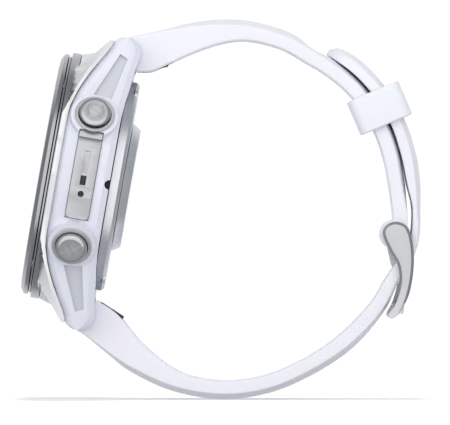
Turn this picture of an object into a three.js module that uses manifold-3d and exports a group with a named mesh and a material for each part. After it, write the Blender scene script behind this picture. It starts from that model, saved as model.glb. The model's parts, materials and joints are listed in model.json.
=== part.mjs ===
// A round multisport GPS watch on its closed strap, in millimetres, standing on the strap.
//
// Two frames are used. The row frame has +X across the closed loop, from the display to the
// buckle, +Y towards 9 o'clock and +Z up, with its origin under the loop's lowest point. The
// watch frame has x to 3 o'clock, y to 12 o'clock and z out of the display; the case leans
// back on the strap, so its group is turned in the row frame.

import * as THREE from "three";
import { mergeVertices } from "three/addons/utils/BufferGeometryUtils.js";
import Module from "manifold-3d";

const wasm = await Module();
wasm.setup();

const deg = Math.PI / 180;

// Driving dimensions: the case
const caseRadius = 21.6; // round body and case side
const caseFront = 4; // body's front face, under the bezel
const caseRear = -4.4; // body's rear face, under the caseback
const caseWall = 3.4;
const cavityRadius = caseRadius - caseWall;
const lean = 10; // degrees that the case leans back
const caseX = -23.18; // case centre in the row frame
const caseZ = 36.82;
const seam = 0.12; // gap between fixed neighbours
const running = 0.1; // gap round what slides or turns

// Lugs and strap bars
const strapWidth = 20;
const lugClearance = 0.35;
const lugGap = strapWidth + 2 * lugClearance; // between a pair of lugs
const lugThickness = 3.35;
const lugCorner = lugGap / 2 + lugThickness; // half the width over the lugs at their tips
const lugLength = 4.4;
const lugReach = caseRadius + lugLength; // where the straight lug sides would meet the lug ends
const barOutset = 0.7; // of the strap bars, beyond the case side
const barY = caseRadius + barOutset;
const barZ = -3.1;
const barRadius = 0.75;
const barSocket = 1.55; // depth that a bar goes into a lug
const barHalfLength = lugGap / 2 + barSocket;
const lugTipRadius = 2.65;
const pocketDepth = 0.7;
const sideSteps = 26;
const sideChamfer = 0.95; // height of the chamfers along the case sides
const chamferInset = 0.55;
const bodyTaper = 0.7; // of the round body towards the bezel
const waistDepth = 2.2;
const skirt = -0.4; // rear end of the round body
const lugRootDepth = 2.4; // that the gap between lugs cuts into the round body
const shelf = 1.2; // thickness of the shelf under the display

// Bezel and display
const bezelSetback = 1.1;
const bezelRadius = caseRadius - bezelSetback;
const bezelFront = 7.5;
const bezelBack = 6.15;
const bezelWidth = 3.1;
const bezelOpening = bezelRadius - bezelWidth;
const bezelChamfer = 0.7;
const channelSetback = 0.3;
const channelRadius = bezelRadius - channelSetback;
const channelBack = 5.7;
const channelLedge = 0.6; // under the display's edge
const channelOpening = bezelOpening - channelLedge;
const baseRingSetback = 0.65;
const baseRingRadius = caseRadius - baseRingSetback;
const glassThickness = 1;
const glassSink = 0.25; // glass below the bezel's lip
const moduleThickness = 2.4;

// Front guards
const guardFront = 5.4;
const guardSteps = 24;
const guardLip = 0.15; // guard outside the case side

// Buttons
const buttonAngles = { start: 29, back: -29, light: 151, up: 180, down: 209 };
const collarHeight = 0.45;
const capRadius = 2.65;
const capRise = 2.8; // of the cap's face over the case side
const capTop = caseRadius + capRise;
const collarWall = 0.65;
const collarRadius = capRadius + collarWall;
const bossWall = 1.35;
const bossRadius = capRadius + bossWall;
const bossRise = 1.25;
const bossRoot = 2.6; // depth that a boss starts inside the case side
const bossTop = caseRadius + bossRise;
const capChamfer = 0.45;
const capDepth = 1.9;
const stemRadius = 0.9;
const stemLength = 6.8;
const stemEnd = capTop - stemLength;
const buttonTravel = 0.6;
const switchRadius = 1.5;
const switchDepth = 1.3;

// Sensor guard plate on the 3 o'clock side
const plateHalfHeight = 1.94;
const plateTop = 8.3;
const plateBottom = -6.5;
const plateRise = 0.45; // above the case side
const plateSink = 0.5; // into the case side
const plateGrooveDepth = 0.35;
const grooveHalf = 0.5; // half the groove's width
const grooveTop = 5;
const portHalf = 0.8; // half the port's length along the case
const portSink = 0.3;
const plateHoleY = -2.3;
const plateHoleRadius = 0.52;
const plateCorner = 0.85;
const lipHeight = 0.5; // of the plate's upper lip, over the plate
const lipBottom = 7.2;
const stepBottom = 6.4; // the sunk step under the lip
const stepDepth = 0.3;
const notchRadius = 0.8; // half-round notch in the case's rear edge

// Caseback and sensor
const casebackSetback = 3.8;
const casebackRadius = caseRadius - casebackSetback;
const casebackDepth = 1.9;
const casebackChamfer = 0.5;
const sensorBaseRadius = 10.9;
const sensorTopRadius = 10;
const sensorRise = 1.35;
const windowRadius = 6.4;
const windowThickness = 0.9;
const screwInset = 0.9;
const screwCircle = casebackRadius - screwInset;
const screwAngles = [65, 115, 245, 295];
const screwHeadRadius = 1.15;
const screwHeadDepth = 0.7;
const contactRadius = 1.1;
const contactOffset = 8.3;

// What the case holds
const boardThickness = 0.8;
const boardClearance = 2.6;
const boardRadius = cavityRadius - boardClearance;
const boardZ = 0.9;
const batteryThickness = 2.6;
const batteryWidth = 21;
const batteryLength = 18;
const partHeight = 2.2;
const motorRadius = 3;
const speakerRadius = 3.2;

// Strap
const crownShare = 0.68; // share of the width under the crown's flat
const knuckleRadius = 2.2;
const rootInner = caseRadius - 2.1; // y of the strap root's edges, in the watch frame
const rootOuter = caseRadius + 3.3;
const strapCentre = [4.4, 35.2]; // centre of the round stretch behind the wrist
const strapInner = 23.4; // its inner radius
const strapOuter = 25.6; // outer radius of the short half there
const layerGap = 0.8;
const tailThickness = 1.75;
const tailCrown = 0.85;
const coveredClearance = 0.12; // between the tail and the short half's crown
const coveredCrown = layerGap - coveredClearance; // of the short half under the tail
const latchStart = [caseRadius - 1.85, -6.3]; // y, z of its case end, in the watch frame
const latchAim = [caseRadius - 0.3, -10]; // y, z that it points to
const latchWidth = 9;
const latchLength = 4.6;
const latchThickness = 1.1;
const latchProud = 0.12;
const latchTravel = 1;
const usedHole = [29.3, 21.3]; // middle of the hole that the tongue uses
const holesBefore = 6;
const holesAfter = 5;
const holePitch = 4.6;
const holeWidth = 2.2;
const holeLength = 3;

// Buckle and keeper
const pin = [29.1, 27.8];
const pinRadius = 0.75;
const pinLoopRadius = 2.5;
const eyeReach = 6; // half the length of the opening for the tongue's eye
const eyeDepth = 5;
const armThickness = 1.6;
const armClearance = 0.25;
const frontBar = [29.35, 15.2];
const frontBarRadius = 0.9;
const tongueSeat = 0.25; // bar's notch for the tongue, outward of its axis
const tongueWidth = 2;
const tongueThickness = 0.8;
const tonguePath = [[28.1, 26.2], [28.75, 23.2], [30, 19.9], [30.5, 17.6], [30.25, 15.2], [30.15, 14.4]];
const armOutline = [
  [27, 27.8],
  [27.6, 29.3],
  [29.1, 29.9],
  [30.7, 29.4],
  [31.6, 28],
  [32.1, 25.5],
  [32.2, 23],
  [31.9, 20],
  [31.2, 17.2],
  [29.7, 14.5],
  [28.5, 13.7],
  [27.8, 14.3],
  [28.8, 16.2],
  [29.6, 18.8],
  [29.8, 20.8],
  [29.4, 22.9],
  [28.2, 25],
];
const tongueEye = 1.75;
const tongueClearance = 0.35;
const tongueLift = 14; // degrees cleared for the tongue in its hole
const keeperAngle = 32;
const keeperLength = 6.1;
const keeperTilt = -9; // degrees that the keeper sits askew on the strap
const keeperWall = 1;
const keeperSlack = 0.22;
const keeperSkew = (keeperLength / 2) * Math.sin(Math.abs(keeperTilt) * deg);
const keeperSagitta = (keeperLength / 2) ** 2 / (2 * strapInner); // of the arc under the loop
const keeperInnerClearance = keeperSlack + keeperSkew + keeperSagitta;
const keeperOuterClearance = keeperSlack + keeperSkew;
const keeperSideClearance = 0.35;

const materials = {
  steel: [0xc4c5c9, 0.35, 0.9],
  whiteResin: [0xdfe1ec, 0.5, 0],
  whiteStrap: [0xeeeef6, 0.6, 0],
  blackResin: [0x17181b, 0.5, 0],
  glass: [0x0c0e12, 0.08, 0],
  board: [0x1f4a33, 0.6, 0.1],
  battery: [0x9a9ca2, 0.5, 0.4],
  brass: [0xc9a25a, 0.35, 0.9],
  rubber: [0x22242a, 0.8, 0],
};

// Turns a closed geometry into a solid, facing out.
function solid(geometry, matrix = new THREE.Matrix4()) {
  const bare = geometry.clone().applyMatrix4(matrix);
  bare.deleteAttribute("normal");
  bare.deleteAttribute("uv");
  const merged = mergeVertices(bare, 1e-4);
  const index = merged.index.array;
  const triangles = [];
  for (let i = 0; i < index.length; i += 3) {
    const [a, b, c] = [index[i], index[i + 1], index[i + 2]];
    if (a !== b && b !== c && c !== a) triangles.push([a, b, c]);
  }
  const build = (faces) => {
    const data = {
      numProp: 3,
      vertProperties: new Float32Array(merged.attributes.position.array),
      triVerts: new Uint32Array(faces.flat()),
    };
    return new wasm.Manifold(new wasm.Mesh(data));
  };
  const made = build(triangles);
  return made.volume() > 0 ? made : build(triangles.map((t) => t.reverse()));
}

const group = new THREE.Group();
const watch = new THREE.Group();
const watchAxes = new THREE.Matrix4().makeBasis(
  new THREE.Vector3(0, -1, 0),
  new THREE.Vector3(Math.sin(lean * deg), 0, Math.cos(lean * deg)),
  new THREE.Vector3(-Math.cos(lean * deg), 0, Math.sin(lean * deg)),
);
watch.quaternion.setFromRotationMatrix(watchAxes);
watch.position.set(caseX, 0, caseZ);
group.add(watch);

function addPiece(name, shape, look, parent) {
  const mesh = shape.getMesh();
  const position = new Float32Array(mesh.numVert * 3);
  for (let i = 0; i < mesh.numVert; i++) {
    const start = i * mesh.numProp;
    position.set(mesh.vertProperties.subarray(start, start + 3), i * 3);
  }
  const geometry = new THREE.BufferGeometry();
  geometry.setAttribute("position", new THREE.BufferAttribute(position, 3));
  geometry.setIndex(new THREE.BufferAttribute(mesh.triVerts, 1));
  geometry.computeVertexNormals();
  const [color, roughness, metalness] = materials[look];
  const material = new THREE.MeshStandardMaterial({ color, roughness, metalness });
  const piece = new THREE.Mesh(geometry, material);
  piece.name = name;
  parent.add(piece);
}

// Point of the watch frame's y-z plane, given in the row frame's X-Z plane.
function toRow(y, z) {
  const s = Math.sin(lean * deg);
  const c = Math.cos(lean * deg);
  return [caseX + y * s - z * c, caseZ + y * c + z * s];
}

function polygon(points) {
  return new THREE.Shape(points.map(([a, b]) => new THREE.Vector2(a, b)));
}

function extrude(points, depth) {
  return new THREE.ExtrudeGeometry(polygon(points), { depth, bevelEnabled: false });
}

// Outline in x-y, from z0 to z1.
function plate(points, z0, z1) {
  return solid(extrude(points, z1 - z0), new THREE.Matrix4().makeTranslation(0, 0, z0));
}

// Outline in y-z, from x0 to x1.
function sideways(points, x0, x1) {
  const turn = new THREE.Matrix4().makeBasis(
    new THREE.Vector3(0, 1, 0),
    new THREE.Vector3(0, 0, 1),
    new THREE.Vector3(1, 0, 0),
  );
  return solid(extrude(points, x1 - x0), turn.setPosition(x0, 0, 0));
}

// Outline in the row frame's X-Z plane, from -Y to +Y about the middle of the strap.
function across(points, y0, y1) {
  const turn = new THREE.Matrix4().makeBasis(
    new THREE.Vector3(1, 0, 0),
    new THREE.Vector3(0, 0, 1),
    new THREE.Vector3(0, -1, 0),
  );
  return solid(extrude(points, y1 - y0), turn.setPosition(0, y1, 0));
}

// Profile of [radius, z] turned about z, then moved by a matrix.
function turned(profile, segments = 60, matrix = new THREE.Matrix4()) {
  const points = profile.map(([r, z]) => new THREE.Vector2(r, z));
  const geometry = new THREE.LatheGeometry(points, segments).rotateX(Math.PI / 2);
  return solid(geometry, matrix);
}

function disc(radius, z0, z1, segments, matrix) {
  return turned([[0, z0], [radius, z0], [radius, z1], [0, z1]], segments, matrix);
}

function ring(inner, outer, z0, z1, segments, matrix) {
  const profile = [[inner, z0], [outer, z0], [outer, z1], [inner, z1], [inner, z0]];
  return turned(profile, segments, matrix);
}

function block(x0, x1, y0, y1, z0, z1) {
  return plate([[x0, y0], [x1, y0], [x1, y1], [x0, y1]], z0, z1);
}

function arc(cx, cy, radius, from, to, steps) {
  const points = [];
  for (let i = 0; i <= steps; i++) {
    const a = (from + ((to - from) * i) / steps) * deg;
    points.push([cx + radius * Math.cos(a), cy + radius * Math.sin(a)]);
  }
  return points;
}

// Matrix that stands z along the row frame's or the watch frame's other axes.
function alongX(y, z) {
  const turn = new THREE.Matrix4().makeRotationY(Math.PI / 2);
  return turn.setPosition(0, y, z);
}

function alongY(x, z) {
  const turn = new THREE.Matrix4().makeRotationX(-Math.PI / 2);
  return turn.setPosition(x, 0, z);
}

// Matrix that stands z along the radius at an angle from 3 o'clock.
function radial(angle) {
  const out = new THREE.Vector3(Math.cos(angle * deg), Math.sin(angle * deg), 0);
  const up = new THREE.Vector3(0, 0, 1);
  return new THREE.Matrix4().makeBasis(up, out.clone().cross(up), out);
}

// A closed body through rings of points, each ring in the same order, with flat ends.
function loft(rings) {
  const corners = rings[0].length;
  const faces = [];
  for (let i = 0; i < rings.length - 1; i++) {
    for (let k = 0; k < corners; k++) {
      const here = i * corners + k;
      const next = i * corners + ((k + 1) % corners);
      faces.push(here, next, here + corners, next, next + corners, here + corners);
    }
  }
  const last = (rings.length - 1) * corners;
  for (let k = 1; k < corners - 1; k++) faces.push(0, k + 1, k, last, last + k, last + k + 1);
  const geometry = new THREE.BufferGeometry();
  geometry.setAttribute("position", new THREE.Float32BufferAttribute(rings.flat(2), 3));
  geometry.setIndex(faces);
  return solid(geometry);
}

// Height of a line of [y, z] points at y, level beyond its ends.
function heightAt(line, y) {
  const last = line.length - 1;
  if (y <= line[0][0]) return line[0][1];
  for (let i = 0; i < last; i++) {
    const [y0, z0] = line[i];
    const [y1, z1] = line[i + 1];
    if (y <= y1) return z0 + ((z1 - z0) * (y - y0)) / (y1 - y0);
  }
  return line[last][1];
}

// The case side in plan: an arc at 3 and 9 o'clock, then straight sides out to the lugs.
function sideOutline(grow) {
  const radius = caseRadius + grow;
  const cornerX = lugCorner + grow;
  const meet = Math.atan2(lugReach, cornerX);
  const tangent = (meet - Math.acos(radius / Math.hypot(cornerX, lugReach))) / deg;
  return [
    ...arc(0, 0, radius, -tangent, tangent, 14),
    [cornerX, lugReach],
    [-cornerX, lugReach],
    ...arc(0, 0, radius, 180 - tangent, 180 + tangent, 14),
    [-cornerX, -lugReach],
    [cornerX, -lugReach],
  ];
}

// Points given as y beyond the case side, and z.
function fromSide(points) {
  return points.map(([beyond, z]) => [caseRadius + beyond, z]);
}

// The seam between the case and its front guards, from the middle of the side to a lug tip.
const seamLine = fromSide([
  [-11.6, 4.4],
  [-9.6, 4.2],
  [-6.6, 3.3],
  [-3.6, 1.9],
  [-1.1, 0.5],
  [0.4, -0.4],
  [1.7, -1],
]);

// The guards' front edge over the same stretch.
const guardLine = fromSide([
  [-10.4, 5.4],
  [-9.6, 4.95],
  [-6.6, 4],
  [-3.1, 2.5],
  [-0.3, 1],
  [1.8, -0.2],
  [2.4, -0.75],
]);

// The case side's rear edge, from the middle of the side to a lug tip.
const rearLine = fromSide([
  [-10.6, caseRear],
  [-7.6, -4.6],
  [-5.6, -4.9],
  [-3.1, -5.1],
  [-0.6, -5.55],
  [0.65, -5.75],
]);

// The guards' height beside the lug gap, where they meet the bezel.
const guardCrest = fromSide([[-10.4, 5.4], [-6.6, 6.4], [-3.6, 5], [-1.6, 3.2], [0, 1.7], [2.5, -0.4]]);

// The tapered pocket in a lug's side.
const pocketOutline = fromSide([[-7.4, -2.3], [-7.1, 0.8], [0.3, -2.4], [-0.3, -3.8]]);

function mirrored(points) {
  return points.map(([y, z]) => [-y, z]).reverse();
}


// Half the case's width at y: round in the middle, then straight out to the lugs.
function halfWidthAt(y) {
  const meet = Math.atan2(lugReach, lugCorner);
  const tangent = meet - Math.acos(caseRadius / Math.hypot(lugCorner, lugReach));
  const startY = caseRadius * Math.sin(tangent);
  if (Math.abs(y) < startY) return Math.sqrt(caseRadius ** 2 - y ** 2);
  return heightAt([[startY, caseRadius * Math.cos(tangent)], [lugReach, lugCorner]], Math.abs(y));
}

// The case from side to side, with chamfers along the front and rear edges of its sides.
function caseSides() {
  const tipEnd = barY - 0.05 + lugTipRadius;
  const rings = [];
  for (let i = -sideSteps; i <= sideSteps; i++) {
    const y = tipEnd * Math.sin((i / sideSteps) * 90 * deg) * 0.999;
    const beyond = Math.max(Math.abs(y) - barY + 0.05, 0);
    const reach = Math.sqrt(lugTipRadius ** 2 - beyond ** 2);
    const front = beyond > 1.1 ? barZ + reach : heightAt(seamLine, Math.abs(y));
    const rear = beyond > 0 ? barZ - reach : heightAt(rearLine, Math.abs(y));
    const x = halfWidthAt(y);
    const chamfer = Math.min(sideChamfer, (front - rear) * 0.3);
    const inset = x - chamferInset;
    rings.push([
      [-inset, y, rear],
      [inset, y, rear],
      [x, y, rear + chamfer],
      [x, y, front - chamfer],
      [inset, y, front],
      [-inset, y, front],
      [-x, y, front - chamfer],
      [-x, y, rear + chamfer],
    ]);
  }
  return loft(rings);
}

function makeCase() {
  let body = caseSides();
  const lugRoot = caseRadius - lugRootDepth;
  for (const way of [-1, 1]) {
    const gap = [[lugRoot * way, -9], [lugRoot * way, 9], [30 * way, 9], [30 * way, -9]];
    body = body.subtract(sideways(gap, -lugGap / 2, lugGap / 2));
  }
  const waist = caseFront - waistDepth;
  const shoulder = [caseRadius - bodyTaper, caseFront];
  const round = [[0, skirt], [caseRadius, skirt], [caseRadius, waist], shoulder, [0, caseFront]];
  body = body.add(turned(round));
  body = body.subtract(disc(baseRingRadius + seam, caseFront, 9));
  for (const angle of Object.values(buttonAngles)) {
    body = body.add(disc(bossRadius, caseRadius - bossRoot, bossTop, 32, radial(angle)));
  }
  body = body.subtract(disc(casebackRadius + seam, -9, caseRear));
  body = body.subtract(disc(cavityRadius, caseRear - 1, caseFront - shelf));
  body = body.subtract(disc(channelOpening, 0, caseFront + 1));
  for (const angle of Object.values(buttonAngles)) {
    const well = capTop - capDepth - buttonTravel - running;
    body = body.subtract(disc(stemRadius + running, 15, 30, 20, radial(angle)));
    body = body.subtract(disc(capRadius + running, well, 30, 32, radial(angle)));
  }
  const recess = ring(caseRadius - plateSink - seam, 30, -plateHalfHeight - seam, plateHalfHeight + seam);
  body = body.subtract(recess.intersect(block(10, 30, plateBottom - seam, plateTop + seam, -4, 4)));
  body = body.subtract(disc(notchRadius, 15, 30, 20, alongX(0, caseRear)));
  for (const way of [-1, 1]) {
    const socket = barHalfLength + seam;
    const bar = disc(barRadius + seam, -socket, socket, 20, alongX(way * barY, barZ));
    body = body.subtract(bar);
    for (const side of [-1, 1]) {
      const pocket = sideways(way > 0 ? pocketOutline : mirrored(pocketOutline), 0, 25 * side);
      body = body.subtract(pocket.subtract(plate(sideOutline(-pocketDepth), -12, 12)));
    }
  }
  return body;
}

// The steel guard over both lug fronts on one side, side being 1 for 3 o'clock. Its front
// slopes from the guard's outer edge up to the bezel.
function makeGuard(side) {
  const end = guardLine[guardLine.length - 1][0];
  const rings = [];
  for (let i = -guardSteps; i <= guardSteps; i++) {
    const y = end * Math.sin((i / guardSteps) * 90 * deg);
    const outside = halfWidthAt(y) + 1;
    const inside = lugGap / 2 - 2;
    const over = Math.abs(y);
    const edge = heightAt(guardLine, over);
    const slope = (heightAt(guardCrest, over) - edge) / (halfWidthAt(y) - lugGap / 2);
    const back = heightAt(seamLine, over) + seam;
    rings.push([
      [outside, y, back],
      [outside, y, Math.max(edge - slope, back + 0.05)],
      [inside, y, edge + slope * (halfWidthAt(y) - inside)],
      [inside, y, back],
    ]);
  }
  let guard = loft(rings.map((ring) => ring.map(([x, y, z]) => [x * side, y, z])));
  guard = guard.intersect(plate(sideOutline(guardLip), -12, guardFront));
  for (const way of [-1, 1]) {
    const [y0, y1] = way > 0 ? [19, 30] : [-30, -19];
    guard = guard.subtract(block(-lugGap / 2, lugGap / 2, y0, y1, -9, 9));
  }
  for (const angle of Object.values(buttonAngles)) {
    guard = guard.subtract(disc(bossRadius + seam, caseRadius - bossRoot, bossTop + 1, 32, radial(angle)));
  }
  guard = guard.subtract(disc(baseRingRadius + seam, caseFront - 0.2, 9));
  return guard.subtract(disc(caseRadius + seam, -9, caseFront + 0.3));
}

function makeBezelAndDisplay() {
  const bezel = turned([
    [bezelOpening, bezelBack],
    [bezelRadius, bezelBack],
    [bezelRadius, bezelFront - bezelChamfer],
    [bezelRadius - 0.9, bezelFront - 0.1],
    [bezelRadius - 2, bezelFront],
    [bezelOpening, bezelFront - 0.15],
    [bezelOpening, bezelBack],
  ]);
  addPiece("front_bezel", bezel, "steel", watch);
  const channel = ring(channelOpening, channelRadius, channelBack, bezelBack - seam);
  addPiece("bezel_channel_ring", channel, "steel", watch);
  const base = ring(channelOpening + seam, baseRingRadius, caseFront + seam, channelBack - seam);
  addPiece("bezel_base_ring", base, "steel", watch);
  const glassTop = bezelFront - glassSink;
  const glass = disc(bezelOpening - seam, glassTop - glassThickness, glassTop);
  addPiece("display_glass", glass, "glass", watch);
  const moduleTop = glassTop - glassThickness - seam;
  const display = disc(channelOpening - seam, moduleTop - moduleThickness, moduleTop);
  addPiece("display_module", display, "blackResin", watch);
}

function makeButton(name, angle) {
  const place = radial(angle);
  const floor = capTop - capDepth;
  const cap = turned(
    [
      [0, stemEnd],
      [stemRadius, stemEnd],
      [stemRadius, floor],
      [capRadius, floor],
      [capRadius, capTop - capChamfer],
      [capRadius - capChamfer, capTop],
      [0, capTop],
    ],
    32,
    place,
  );
  addPiece(name + "_button", cap, "steel", watch);
  const collar = ring(capRadius + running, collarRadius, bossTop + seam, bossTop + collarHeight, 32, place);
  addPiece(name + "_collar", collar, "steel", watch);
  const contact = stemEnd - buttonTravel - running;
  const dome = disc(switchRadius, contact - switchDepth, contact, 16, place);
  addPiece(name + "_switch", dome, "rubber", watch);
}

function makeSensorPlate() {
  const inner = caseRadius - plateSink;
  const outer = caseRadius + plateRise;
  const wall = ring(inner, outer + lipHeight, -plateHalfHeight, plateHalfHeight, 96);
  const low = plateBottom + plateCorner;
  const corner = plateHalfHeight - plateCorner;
  const outline = [
    ...arc(low, corner, plateCorner, 90, 180, 5),
    ...arc(low, -corner, plateCorner, 180, 270, 5),
    [plateTop, -plateHalfHeight],
    [plateTop, plateHalfHeight],
  ];
  let shape = wall.intersect(sideways(outline, 10, 30));
  shape = shape.subtract(ring(outer, 30, -4, 4, 96).intersect(block(10, 30, -20, lipBottom, -4, 4)));
  const step = ring(outer - stepDepth, 30, -4, 4, 96);
  shape = shape.subtract(step.intersect(block(10, 30, stepBottom, lipBottom, -4, 4)));
  const grooveFloor = outer - plateGrooveDepth;
  const groove = ring(grooveFloor, 30, -grooveHalf, grooveHalf, 96);
  shape = shape.subtract(groove.intersect(block(10, 30, portHalf, grooveTop, -4, 4)));
  shape = shape.subtract(block(10, 30, -portHalf, portHalf, -grooveHalf, grooveHalf));
  const hole = alongX(plateHoleY, 0);
  shape = shape.subtract(disc(plateHoleRadius, 10, 30, 20, hole));
  addPiece("sensor_guard_plate", shape, "steel", watch);
  const portWall = ring(inner, outer - portSink, -grooveHalf + seam, grooveHalf - seam, 96);
  const port = portWall.intersect(block(10, 30, -portHalf + seam, portHalf - seam, -4, 4));
  addPiece("sensor_port", port, "blackResin", watch);
}

function makeCaseback() {
  const top = caseRear - seam;
  const rear = top - casebackDepth;
  let back = turned([
    [0, top],
    [casebackRadius, top],
    [casebackRadius, rear + casebackChamfer],
    [casebackRadius - casebackChamfer, rear],
    [0, rear],
  ]);
  const screws = screwAngles.map((angle) => {
    const place = new THREE.Matrix4().makeTranslation(
      screwCircle * Math.cos(angle * deg),
      screwCircle * Math.sin(angle * deg),
      0,
    );
    return [angle, place];
  });
  for (const [angle, place] of screws) {
    back = back.subtract(disc(screwHeadRadius + seam, rear - 1, rear + screwHeadDepth, 20, place));
    const head = disc(screwHeadRadius, rear, rear + screwHeadDepth - seam, 20, place);
    addPiece("caseback_screw_" + angle, head, "steel", watch);
  }
  addPiece("caseback", back, "steel", watch);
  const gasketTop = caseRear + 0.6;
  const gasket = ring(cavityRadius - 1.2, cavityRadius - seam, caseRear, gasketTop);
  addPiece("caseback_gasket", gasket, "rubber", watch);
  const base = rear - seam;
  const sensorRear = base - sensorRise;
  const windowFloor = sensorRear + windowThickness;
  let bump = turned([
    [0, base],
    [sensorBaseRadius, base],
    [sensorTopRadius, sensorRear],
    [windowRadius + seam, sensorRear],
    [windowRadius + seam, windowFloor],
    [0, windowFloor],
  ]);
  for (const side of [-1, 1]) {
    const place = new THREE.Matrix4().makeTranslation(contactOffset * side, 0, 0);
    bump = bump.subtract(disc(contactRadius, sensorRear - 1, sensorRear + 0.5, 16, place));
    const contact = disc(contactRadius - seam, sensorRear, sensorRear + 0.5 - seam, 16, place);
    addPiece(side > 0 ? "charge_contact_right" : "charge_contact_left", contact, "brass", watch);
  }
  addPiece("sensor_housing", bump, "steel", watch);
  const window = disc(windowRadius, sensorRear, windowFloor - seam, 48);
  addPiece("sensor_window", window, "glass", watch);
}

function makeInnerPieces() {
  const board = disc(boardRadius, boardZ, boardZ + boardThickness, 40);
  addPiece("main_board", board, "board", watch);
  const batteryTop = boardZ - seam;
  const cell = block(
    -batteryLength / 2,
    batteryLength / 2,
    -batteryWidth / 2,
    batteryWidth / 2,
    batteryTop - batteryThickness,
    batteryTop,
  );
  addPiece("battery", cell, "battery", watch);
  const opticsTop = caseRear + 0.5 + boardThickness;
  addPiece("sensor_board", disc(8, caseRear + 0.5, opticsTop, 32), "board", watch);
  const partTop = boardZ - seam;
  const at = (x, y) => new THREE.Matrix4().makeTranslation(x, y, 0);
  const partFoot = partTop - partHeight;
  const motorPlace = at(0, -batteryWidth / 2 - motorRadius - seam);
  const motor = disc(motorRadius, partFoot, partTop, 24, motorPlace);
  addPiece("vibration_motor", motor, "steel", watch);
  const speakerPlace = at(0, batteryWidth / 2 + speakerRadius + seam);
  const speaker = disc(speakerRadius, partFoot, partTop, 24, speakerPlace);
  addPiece("speaker", speaker, "blackResin", watch);
  const shelfBottom = caseFront - shelf;
  const antenna = ring(cavityRadius - 1.4, cavityRadius - seam, shelfBottom - 1.2, shelfBottom - seam, 48);
  addPiece("antenna_ring", antenna, "brass", watch);
}

function makeLugBars() {
  for (const [name, way] of [["lug_bar_top", 1], ["lug_bar_bottom", -1]]) {
    const place = alongX(way * barY, barZ);
    addPiece(name, disc(barRadius, -barHalfLength, barHalfLength, 20, place), "steel", watch);
  }
}

// A point of the round stretch, at an angle from +X about the strap's centre.
function onArc(angle, radius) {
  return [
    strapCentre[0] + radius * Math.cos(angle * deg),
    strapCentre[1] + radius * Math.sin(angle * deg),
  ];
}

// A strap half. Each station gives the wrist-side point, the outer point at the strap's edges
// and the crown's height over that outer point; splines through them give the sections.
function spline(stations, pick) {
  const points = stations.map((s) => new THREE.Vector3(...pick(s)));
  return new THREE.CatmullRomCurve3(points, false, "centripetal");
}

function makeStrap(stations, steps, tip = () => 1) {
  const inner = spline(stations, (s) => [s[0][0], 0, s[0][1]]);
  const outer = spline(stations, (s) => [s[1][0], 0, s[1][1]]);
  const crown = (t) => {
    const at = t * (stations.length - 1);
    const low = Math.min(Math.floor(at), stations.length - 2);
    return THREE.MathUtils.lerp(stations[low][2], stations[low + 1][2], at - low);
  };
  const rings = [];
  for (let i = 0; i <= steps; i++) {
    const t = i / steps;
    const a = inner.getPoint(t);
    const b = outer.getPoint(t);
    const out = b.clone().sub(a).normalize();
    const top = b.clone().addScaledVector(out, crown(t));
    const half = (strapWidth / 2) * tip(t);
    const flat = half * crownShare;
    const corners = [[a, -half], [a, half], [b, half], [top, flat], [top, -flat], [b, -half]];
    rings.push(corners.map(([p, y]) => [p.x, y, p.z]));
  }
  return loft(rings);
}

// The knuckle round a lug bar and the web that joins it to the strap's root, way being 1 at
// 12 o'clock, in the row frame.
function rootKnuckle(way, outer, inner) {
  const centre = toRow(way * barY, barZ);
  const half = strapWidth / 2;
  const barrel = disc(knuckleRadius, -half, half, 32, alongY(...centre));
  const web = across([centre, inner, outer], -half, half);
  return barrel.add(web);
}

// A quick-release latch under a strap root, a flat slide that lies along the strap. proud is
// how far the outline stands out of the strap on the wrist's side.
function latchOutline(way, grow, travel, proud) {
  const start = toRow(way * latchStart[0], latchStart[1]);
  const u = latchDirection(way);
  const n = [-u[1] * way, u[0] * way];
  const at = (a, b) => [start[0] + u[0] * a + n[0] * b, start[1] + u[1] * a + n[1] * b];
  const far = latchLength + grow + travel;
  const depth = latchThickness - latchProud + grow;
  return [at(-grow, -proud), at(far, -proud), at(far, depth), at(-grow, depth)];
}

function latchDirection(way) {
  const start = toRow(way * latchStart[0], latchStart[1]);
  const aim = toRow(way * latchAim[0], latchAim[1]);
  const length = Math.hypot(aim[0] - start[0], aim[1] - start[1]);
  return [(aim[0] - start[0]) / length, (aim[1] - start[1]) / length];
}

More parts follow.
